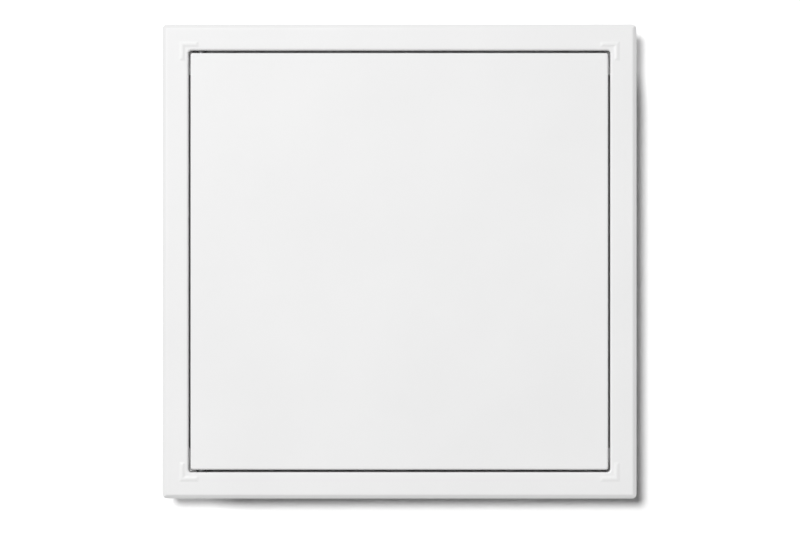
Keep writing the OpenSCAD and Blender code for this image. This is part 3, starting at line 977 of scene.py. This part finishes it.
@dataclass
class PushLatch(Assembly):
    """One of the two magnetic push latches: housing, cap, plunger, magnet and spring.

    Attributes:
        place: Which latch it is, as its solids are named.
        body: The body that its plunger rides on.
        rack: The finishes.
        cap_edge: Radius of the cap's broken edges.
        wire_d: Diameter of its spring's wire.
        turns: Turns of its spring.
        travel: Travel of the plunger.
    """

    place: str
    body: Body
    rack: FinishRack
    cap_edge: float = 0.0004
    wire_d: float = 0.0008
    turns: int = 6
    travel: float = 0.003

    def build(self) -> None:
        """Dresses the latch's pieces and winds its spring."""
        self.dress("latch_housing_" + self.place, Body.FRAME, self.rack.housing, "latch_plastic")
        self.dress("latch_cap_" + self.place, Body.FRAME, self.rack.cap, "cap_plastic", edge_r=self.cap_edge)
        self.dress("latch_plunger_" + self.place, self.body, self.rack.plunger, "plunger_plastic")
        self.dress("latch_magnet_" + self.place, self.body, self.rack.magnet, "magnet_nickel")
        spring = CoilSpring("latch_spring_" + self.place, Body.FRAME, Axis.THROUGH, self.wire_d, self.turns,
                            f"plunger_{self.place}_slide", self.travel, fixed_low=False)
        spring.build(self.rack.wire)


@dataclass
class LatchScrews(Assembly):
    """The pan-head screws that hold the latches to their stop, with cross recesses.

    Attributes:
        rack: The finishes.
        head_r: Radius of the head.
        head_h: Height of the head.
        shank_r: Radius of the shank.
        shank_l: Length of the shank.
        heights: Heights of the screws on the panel.
        sides: Facets round a screw.
        dome_share: Part of the head's height that is domed.
        dome_steps: Facets of the dome.
        slot_shares: Length and width of a recess bar in head radii, and its cutter's height in head heights.
        smooth_degrees: Edges sharper than this stay sharp.
    """

    rack: FinishRack
    head_r: float = 0.0028
    head_h: float = 0.0019
    shank_r: float = 0.00145
    shank_l: float = 0.0072
    heights: tuple[float, ...] = (-0.124, -0.096, 0.096, 0.124)
    sides: int = 32
    dome_share: float = 0.62
    dome_steps: int = 5
    slot_shares: Triple = (1.05, 0.24, 1.1)
    smooth_degrees: float = 34

    def build(self) -> None:
        """Models one screw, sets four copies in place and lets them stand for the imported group."""
        low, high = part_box("latch_screws")
        seat = low[1] + self.head_h
        places = [Place(((low[0] + high[0]) / 2, seat, height), (0, -1, 0)) for height in self.heights]
        screws = self.set_out(self.model(), places)
        for number, screw in enumerate(screws, 1):
            screw.name = f"latch_screw_{number}"
            self.finish(screw, self.rack.screw)
            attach(screw, Body.FRAME.value)
            LOG.info("%s rides on %s", screw.name, Body.FRAME.value)
        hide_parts("latch_screws")

    def model(self) -> bpy.types.Object:
        """Models one screw at the origin, its head on the plane z = 0 and its shank below.

        Returns:
            The screw.
        """
        clear_selection()
        bpy.ops.mesh.primitive_cylinder_add(vertices=self.sides, radius=self.head_r, depth=self.head_h,
                                            location=(0, 0, self.head_h / 2))
        bpy.ops.object.transform_apply(location=True, rotation=True, scale=True)
        screw = bpy.context.view_layer.objects.active
        self.select_faces(screw, -1)
        bpy.ops.mesh.inset(thickness=self.head_r - self.shank_r)
        bpy.ops.mesh.extrude_region_move(TRANSFORM_OT_translate={"value": (0, 0, -self.shank_l)})
        self.select_faces(screw, 1)
        bpy.ops.mesh.bevel(offset=self.head_h * self.dome_share, segments=self.dome_steps, affect="EDGES")
        bpy.ops.object.mode_set(mode="OBJECT")
        for turn in (0, 90):
            self.cut_slot(screw, turn)
        smooth_by_angle(screw, self.smooth_degrees)
        return screw

    def cut_slot(self, screw: bpy.types.Object, turn: float) -> None:
        """Cuts one bar of the cross recess.

        Args:
            screw: The screw to cut.
            turn: Turn of the bar about the screw's axis, in degrees.
        """
        clear_selection()
        bpy.ops.mesh.primitive_cube_add(size=1, location=(0, 0, self.head_h),
                                        rotation=(0, 0, math.radians(turn)))
        cutter = bpy.context.view_layer.objects.active
        long, wide, deep = self.slot_shares
        cutter.scale = (self.head_r * long, self.head_r * wide, self.head_h * deep)
        bpy.ops.object.transform_apply(location=True, rotation=True, scale=True)
        apply_modifier(screw, "BOOLEAN", operation="DIFFERENCE", object=cutter, solver="EXACT")
        bpy.data.objects.remove(cutter)


@dataclass(frozen=True)
class SoftLamp:
    """A distant soft lamp.

    Attributes:
        name: The lamp's name.
        towards: Direction from the panel to the lamp.
        strength: Its strength.
        spread_degrees: The angle that it fills in the sky.
        bounces: How often its light may bounce.
    """

    name: str
    towards: Triple
    strength: float
    spread_degrees: float
    bounces: int = 1024

    def hang(self) -> None:
        """Adds the lamp."""
        data = bpy.data.lights.new(self.name, "SUN")
        data.energy = self.strength
        data.angle = math.radians(self.spread_degrees)
        data.cycles.max_bounces = self.bounces
        lamp = bpy.data.objects.new(self.name, data)
        lamp.rotation_mode = "QUATERNION"
        lamp.rotation_quaternion = Vector(self.towards).to_track_quat("Z", "Y")
        bpy.context.scene.collection.objects.link(lamp)


@dataclass(frozen=True)
class SoftBox:
    """A wide lamp near the panel that leaves the stage out, so that the shadow on the wall stays deep.

    Attributes:
        name: The lamp's name.
        place: Where it hangs.
        width: Its diameter.
        power: Its power in watts.
    """

    name: str
    place: Triple
    width: float
    power: float

    def hang(self, stage: bpy.types.Collection) -> None:
        """Adds the lamp, facing the panel's middle.

        Args:
            stage: The wall and floor, marked as left out.
        """
        data = bpy.data.lights.new(self.name, "AREA")
        data.shape = "DISK"
        data.size = self.width
        data.energy = self.power
        lamp = bpy.data.objects.new(self.name, data)
        lamp.location = self.place
        lamp.rotation_mode = "QUATERNION"
        lamp.rotation_quaternion = Vector(self.place).to_track_quat("Z", "Y")
        lamp.visible_glossy = False
        lamp.light_linking.receiver_collection = stage
        bpy.context.scene.collection.objects.link(lamp)


@dataclass
class Studio:
    """White wall and floor, soft lamps and boxes, mostly from the top left, and the straight-on camera.

    Attributes:
        distance: Distance of the camera from the ceiling's surface.
        lens: The camera's focal length in millimetres.
        sensor: Width of its sensor in millimetres.
        picture_width: Width of the picture in pixels.
        shift_pixels: Shift of the picture across and up, in pixels.
        wall_y: Place of the wall, just behind the panel's box.
        floor_spot: Middle of the floor.
        plane_size: Width of the wall and of the floor.
        ambient: Strength of the room's even light.
        paper: Colour of the wall and floor, over 1 so that it comes out white under these lamps.
        lamps: The distant lamps.
        boxes: The lamps that leave the stage out.
    """

    distance: float = 5.0
    lens: float = 236.9
    sensor: float = 36.0
    picture_width: float = 800
    shift_pixels: tuple[float, float] = (0.6, -5.1)
    wall_y: float = 0.0462
    floor_spot: Triple = (0, -0.5, -1.2)
    plane_size: float = 6
    ambient: float = 0.07
    paper: float = 1.93
    lamps: list[SoftLamp] = field(default_factory=lambda: [
        SoftLamp("key_lamp", (-0.185, -1.0, 0.185), 1.47, 12.5),
        SoftLamp("grazing_lamp", (-0.68, -0.28, 0.68), 1.20, 30.0),
        SoftLamp("rear_lamp", (0.35, 0.80, 0.50), 2.5, 40.0, bounces=0),
        SoftLamp("rear_fill", (-0.70, 0.60, -0.15), 0.9, 40.0, bounces=0),
        SoftLamp("side_fill", (0.92, 0.20, -0.34), 0.45, 40.0, bounces=0),
    ])
    boxes: list[SoftBox] = field(default_factory=lambda: [
        SoftBox("front_box", (-0.48, -1.9, 0.48), 1.0, 10.8),
        SoftBox("side_box", (2.4, -2.0, -2.4), 1.5, 14.0),
    ])

    def build(self) -> None:
        """Sets up the camera, the lamps, the world and the stage."""
        self.set_camera()
        self.set_world()
        for lamp in self.lamps:
            lamp.hang()
        stage = self.set_stage()
        for box in self.boxes:
            box.hang(stage)
        bpy.context.scene.view_settings.view_transform = "Standard"

    def set_camera(self) -> None:
        """Puts the camera square in front of the face."""
        data = bpy.data.cameras.new("photo_camera")
        data.lens = self.lens
        data.sensor_width = self.sensor
        data.shift_x, data.shift_y = (pixels / self.picture_width for pixels in self.shift_pixels)
        camera = bpy.data.objects.new("photo_camera", data)
        camera.location = (0, -self.distance, 0)
        camera.rotation_euler = (math.radians(90), 0, 0)
        bpy.context.scene.collection.objects.link(camera)
        bpy.context.scene.camera = camera

    def set_world(self) -> None:
        """Lights the scene evenly, and shows plain white to the camera and in reflections."""
        world = bpy.data.worlds.new("white_room")
        bpy.context.scene.world = world
        world.use_nodes = True
        tree = world.node_tree
        backdrop = tree.nodes["Background"]
        backdrop.inputs["Color"].default_value = (1, 1, 1, 1)
        path = tree.nodes.new("ShaderNodeLightPath")
        seen = path.outputs["Is Camera Ray"]
        for ray in ("Is Glossy Ray", "Is Transmission Ray"):
            both = tree.nodes.new("ShaderNodeMath")
            both.operation = "MAXIMUM"
            tree.links.new(seen, both.inputs[0])
            tree.links.new(path.outputs[ray], both.inputs[1])
            seen = both.outputs[0]
        level = tree.nodes.new("ShaderNodeMapRange")
        level.inputs["To Min"].default_value = self.ambient
        level.inputs["To Max"].default_value = 1.0
        tree.links.new(seen, level.inputs["Value"])
        tree.links.new(level.outputs["Result"], backdrop.inputs["Strength"])

    def set_stage(self) -> bpy.types.Collection:
        """Adds the wall behind the panel and the floor far below it.

        Returns:
            The wall and floor, marked as left out of a lamp's light.
        """
        stage = bpy.data.collections.new("stage")
        for name, place, turn in (("wall", (0, self.wall_y, 0), (math.radians(90), 0, 0)),
                                  ("floor", self.floor_spot, (0, 0, 0))):
            clear_selection()
            bpy.ops.mesh.primitive_plane_add(size=self.plane_size, location=place, rotation=turn)
            plane = bpy.context.view_layer.objects.active
            plane.name = "stage_" + name
            plane.visible_diffuse = False
            plane.visible_glossy = False
            plane.visible_transmission = False
            plane.visible_shadow = False
            plane.data.materials.append(self.backdrop_paper(name))
            stage.objects.link(plane)
        for member in stage.collection_objects:
            member.light_linking.link_state = "EXCLUDE"
        return stage

    def backdrop_paper(self, name: str) -> bpy.types.Material:
        """White paper that keeps the shadow and can't be seen from behind.

        Args:
            name: The stage piece's name.

        Returns:
            The paper's material.
        """
        paper = bpy.data.materials.new(name + "_paper")
        paper.use_nodes = True
        tree = paper.node_tree
        tree.nodes.clear()
        diffuse = tree.nodes.new("ShaderNodeBsdfDiffuse")
        diffuse.inputs["Color"].default_value = (self.paper, self.paper, self.paper, 1)
        clear = tree.nodes.new("ShaderNodeBsdfTransparent")
        sides = tree.nodes.new("ShaderNodeMixShader")
        tree.links.new(tree.nodes.new("ShaderNodeNewGeometry").outputs["Backfacing"], sides.inputs[0])
        tree.links.new(diffuse.outputs[0], sides.inputs[1])
        tree.links.new(clear.outputs[0], sides.inputs[2])
        out = tree.nodes.new("ShaderNodeOutputMaterial")
        tree.links.new(sides.outputs[0], out.inputs["Surface"])
        return paper


def main() -> None:
    """Builds the sub-assemblies in order, then the studio."""
    logging.basicConfig(level=logging.INFO, format="%(name)s: %(message)s")
    Studio().build()
    rack = FinishRack.stock()
    Surround(rack).build()
    Door(rack).build()
    SpotWelds(rack).build()
    for place, body in (("top", Body.BOLT_TOP), ("bottom", Body.BOLT_BOTTOM)):
        SpringBolt(place, body, rack).build()
    for place, body in (("upper", Body.PLUNGER_UPPER), ("lower", Body.PLUNGER_LOWER)):
        PushLatch(place, body, rack).build()
    LatchScrews(rack).build()


if __name__ == "__main__":
    main()
